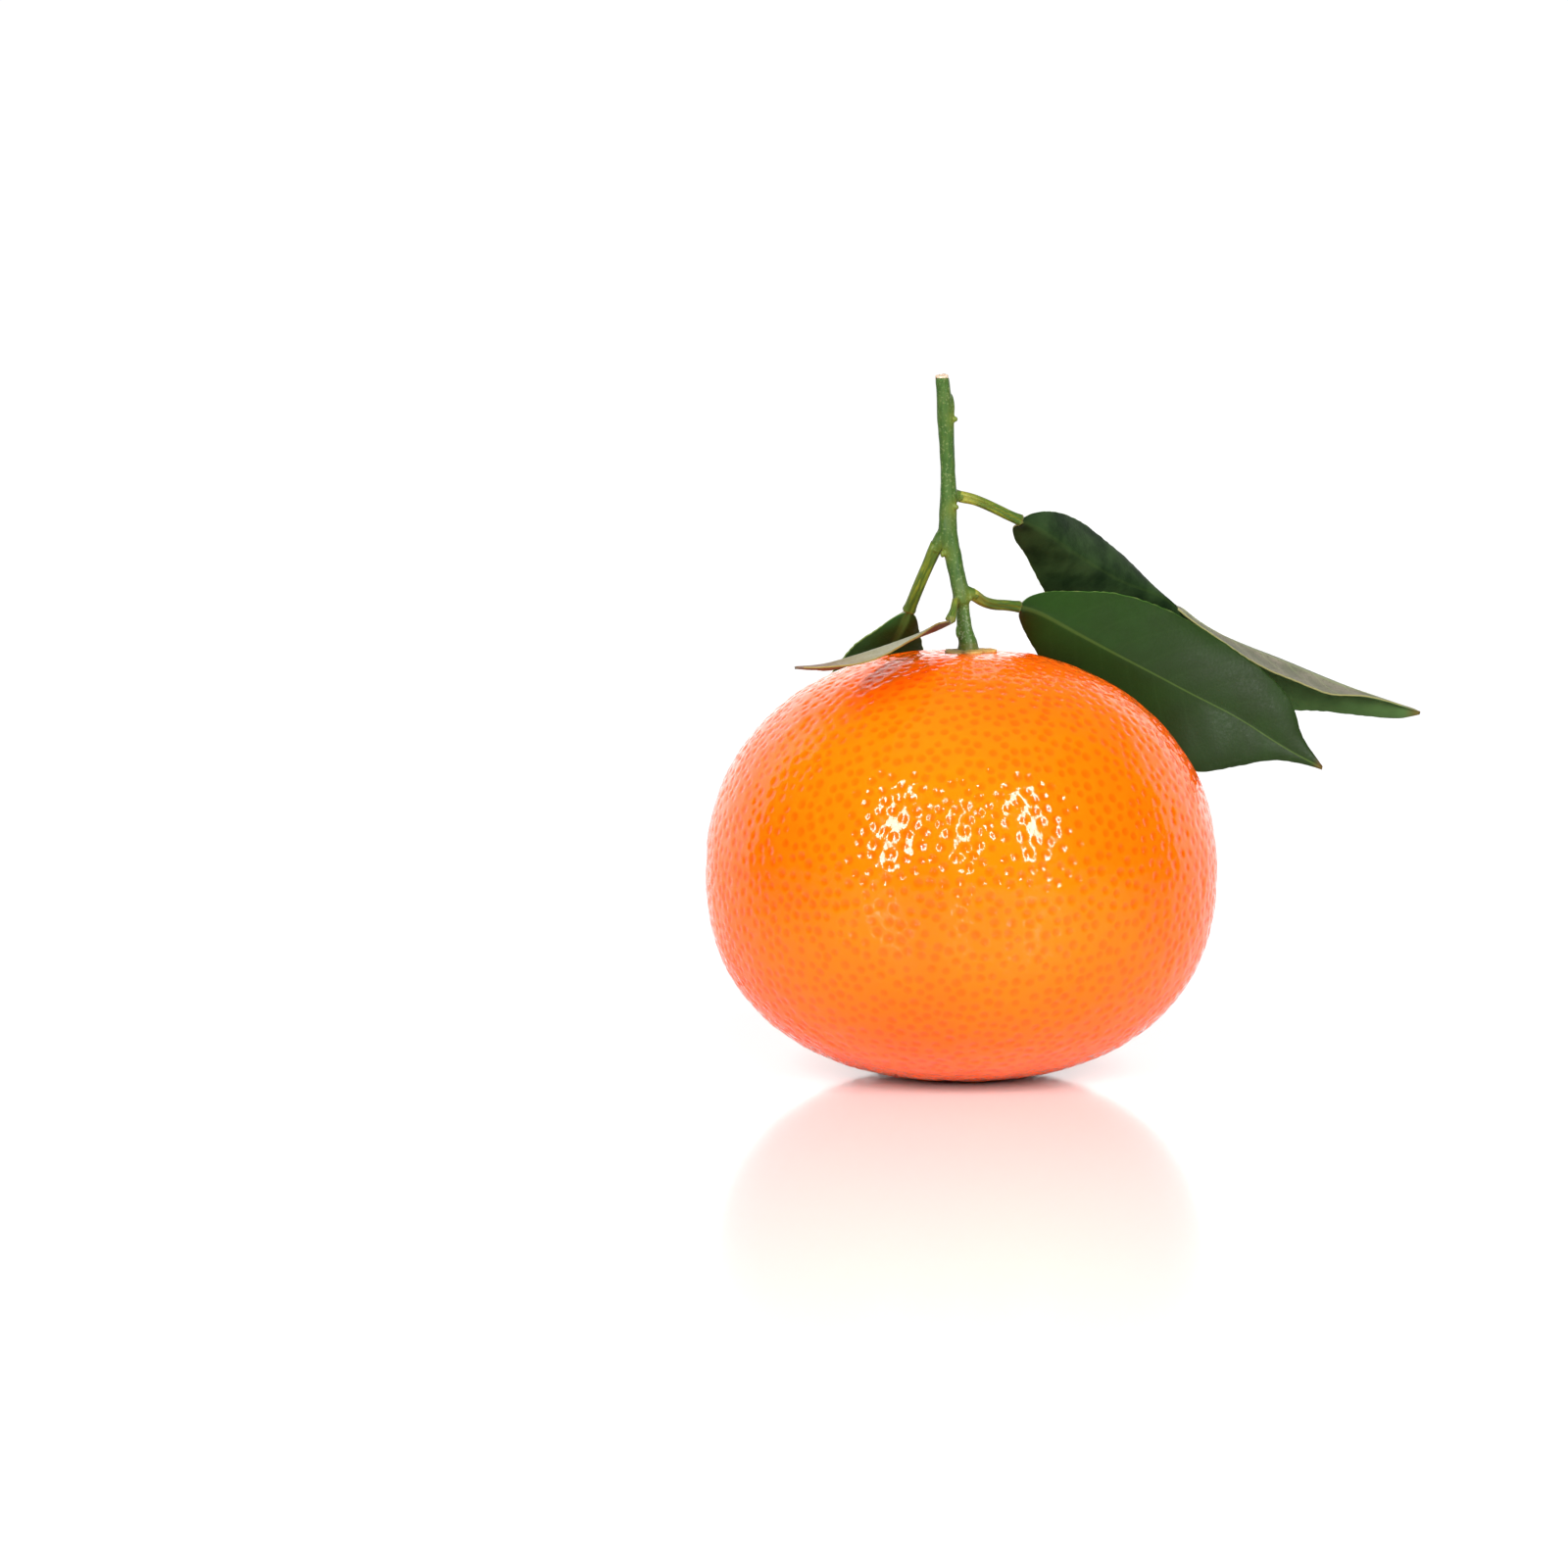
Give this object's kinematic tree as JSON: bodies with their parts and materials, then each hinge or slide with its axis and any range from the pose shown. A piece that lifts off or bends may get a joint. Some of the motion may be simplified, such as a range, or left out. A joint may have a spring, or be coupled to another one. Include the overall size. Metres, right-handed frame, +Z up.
{
  "type": "mandarin with leafy twig",
  "caption": "Whole mandarin resting on its flattened underside, with calyx, cut green twig and stalked leaves.",
  "frame": {"origin": "centre of the flat spot on the fruit's underside, on the surface it rests on", "axes": "+Z up through the fruit's core to the stem end, +X towards the side with the long leaves, +Y to the back"},
  "size_m": [0.0932, 0.0695, 0.0876],
  "materials": {
    "peel": "waxy citrus peel, finely pitted, glossy",
    "calyx": "dry, ochre to green-brown, matt",
    "twig": "smooth green bark, satin",
    "leaf": "leathery evergreen leaf, satin above, pale and matt below"
  },
  "bodies": {
    "root": {"fruit": "peel", "calyx": "calyx", "twig": "twig", "leaf_upper_right": "leaf", "leaf_front_right": "leaf", "leaf_back_left": "leaf", "leaf_front_left": "leaf"}
  },
  "joints": []
}
